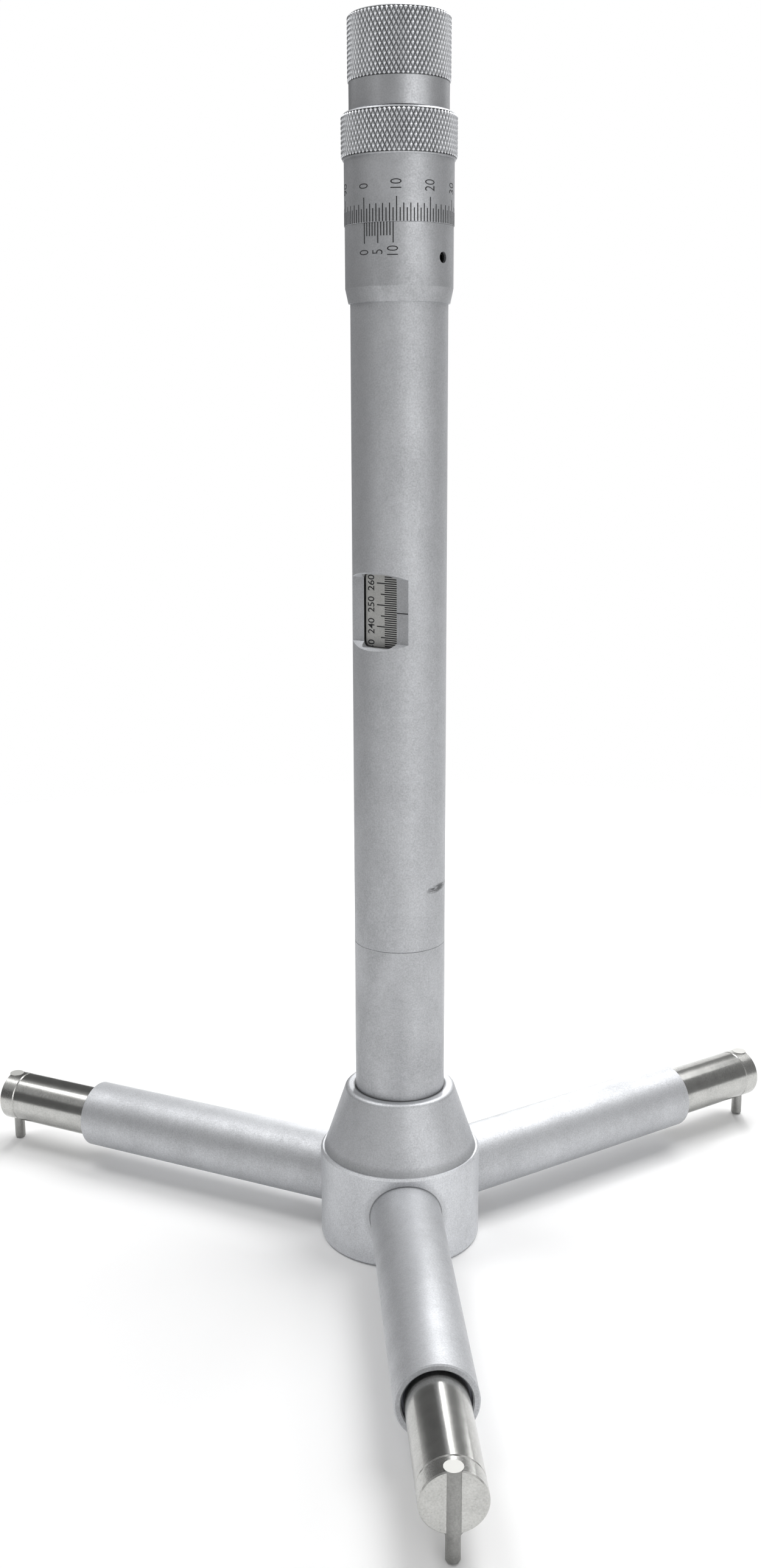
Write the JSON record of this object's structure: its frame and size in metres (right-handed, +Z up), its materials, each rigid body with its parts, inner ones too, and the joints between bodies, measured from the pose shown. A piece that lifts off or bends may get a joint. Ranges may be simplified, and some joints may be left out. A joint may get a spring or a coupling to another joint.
{
  "type": "three-point inside micrometer",
  "caption": "Three-point inside micrometer with radial plungers, a windowed scale tube, a vernier thimble and a knurled friction cap.",
  "frame": {"origin": "centre of the hub's lower face, which is the face it stands on", "axes": "+Z up along the tube, towards the friction cap; the front arm points along -Y, the other two at 120 degrees"},
  "size_m": [0.2192, 0.1906, 0.2872],
  "materials": {
    "satin_alloy": "satin",
    "ground_steel": "ground",
    "scale_steel": "matte, engraved",
    "hard_steel": "polished",
    "screw_steel": "satin",
    "spring_steel": "drawn",
    "bronze": "turned"
  },
  "bodies": {
    "housing": {"hub_body": "satin_alloy", "hub_cover": "satin_alloy", "cover_screw_0": "screw_steel", "cover_screw_1": "screw_steel", "cover_screw_2": "screw_steel", "hub_cone": "satin_alloy", "tube_lower": "satin_alloy", "tube_main": "satin_alloy", "vernier_sleeve": "satin_alloy", "vernier_lock_screw": "screw_steel", "bearing_bush": "bronze", "rod_bush": "bronze", "arm_sleeve_front": "satin_alloy", "plunger_bush_front": "screw_steel", "spring_stop_front": "screw_steel", "guide_screw_front": "screw_steel", "return_spring_front": "spring_steel", "arm_sleeve_right": "satin_alloy", "plunger_bush_right": "screw_steel", "spring_stop_right": "screw_steel", "guide_screw_right": "screw_steel", "return_spring_right": "spring_steel", "arm_sleeve_left": "satin_alloy", "plunger_bush_left": "screw_steel", "spring_stop_left": "screw_steel", "guide_screw_left": "screw_steel", "return_spring_left": "spring_steel"},
    "thimble": {"thimble": "satin_alloy", "lead_screw": "ground_steel", "thimble_nut": "screw_steel", "friction_washer": "screw_steel", "friction_screw": "screw_steel", "friction_spring": "spring_steel"},
    "cap": {"friction_cap": "satin_alloy", "cap_plug": "satin_alloy"},
    "rod": {"scale_rod": "ground_steel", "scale_bar": "scale_steel", "bar_screw_low": "screw_steel", "bar_screw_high": "screw_steel", "rod_nut": "bronze", "drawbar": "ground_steel", "measuring_cone": "ground_steel"},
    "plunger_front": {"push_shaft_front": "ground_steel", "nose_pin_front": "hard_steel", "plunger_front": "ground_steel", "anvil_head_front": "ground_steel", "contact_pin_front": "hard_steel"},
    "plunger_right": {"push_shaft_right": "ground_steel", "nose_pin_right": "hard_steel", "plunger_right": "ground_steel", "anvil_head_right": "ground_steel", "contact_pin_right": "hard_steel"},
    "plunger_left": {"push_shaft_left": "ground_steel", "nose_pin_left": "hard_steel", "plunger_left": "ground_steel", "anvil_head_left": "ground_steel", "contact_pin_left": "hard_steel"}
  },
  "joints": [
    {"name": "thimble_turn", "type": "hinge", "parent": "housing", "child": "thimble", "pos_m": [0, 0, 0.24], "axis": [0, 0, -1], "range_deg": [-4321, 4681]},
    {"name": "cap_slip", "type": "hinge", "parent": "thimble", "child": "cap", "pos_m": [0, 0, 0.27], "axis": [0, 0, -1], "continuous": true},
    {"name": "rod_travel", "type": "slide", "parent": "housing", "child": "rod", "axis": [0, 0, -1], "range_m": [-0.006, 0.0065]},
    {"name": "plunger_travel_front", "type": "slide", "parent": "housing", "child": "plunger_front", "axis": [0, -1, 0], "range_m": [-0.00601, 0.00651]},
    {"name": "plunger_travel_right", "type": "slide", "parent": "housing", "child": "plunger_right", "axis": [0.866, 0.5, 0], "range_m": [-0.00601, 0.00651]},
    {"name": "plunger_travel_left", "type": "slide", "parent": "housing", "child": "plunger_left", "axis": [-0.866, 0.5, 0], "range_m": [-0.00601, 0.00651]}
  ],
  "couplings": [
    {"joint": "thimble_turn", "follows": "rod_travel", "rad_per_m": 12566},
    {"joint": "plunger_travel_front", "follows": "rod_travel", "ratio": 1},
    {"joint": "plunger_travel_right", "follows": "rod_travel", "ratio": 1},
    {"joint": "plunger_travel_left", "follows": "rod_travel", "ratio": 1}
  ]
}
